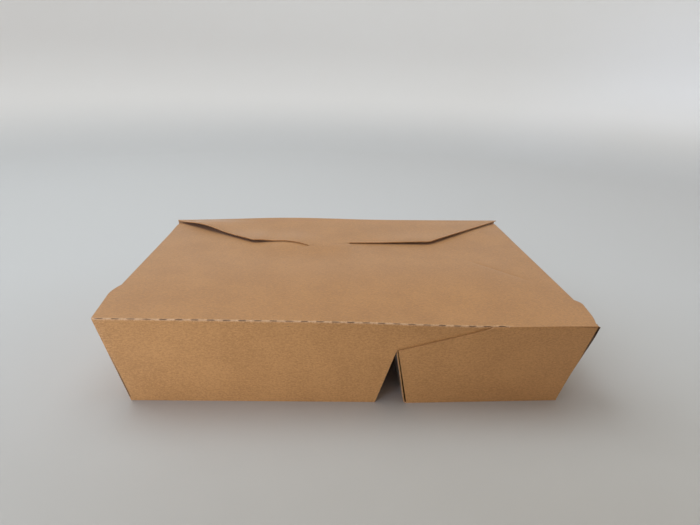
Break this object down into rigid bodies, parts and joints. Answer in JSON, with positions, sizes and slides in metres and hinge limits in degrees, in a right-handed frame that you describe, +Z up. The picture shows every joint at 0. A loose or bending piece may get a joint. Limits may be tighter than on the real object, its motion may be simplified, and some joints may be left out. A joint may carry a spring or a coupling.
{
  "type": "takeaway box",
  "caption": "Folded kraft board takeaway box with sloping walls, a pleated divider, a perforated front lid and a hinged rear flap locked by a tongue.",
  "frame": {"origin": "centre of the box's footprint on the surface it stands on", "axes": "+X along the box to the right of someone facing the front wall, +Y from the front wall to the rear wall, +Z up"},
  "size_m": [0.2184, 0.1574, 0.0453],
  "materials": {
    "kraft_board": "matte uncoated kraft"
  },
  "bodies": {
    "box": {"carton": "kraft_board", "front_lid": "kraft_board"},
    "rear_flap": {"rear_flap": "kraft_board"}
  },
  "joints": [
    {"name": "rear_flap_crease", "type": "hinge", "parent": "box", "child": "rear_flap", "pos_m": [0, 0.07768, 0.045], "axis": [-1, 0, 0], "range_deg": [0, 178]}
  ]
}
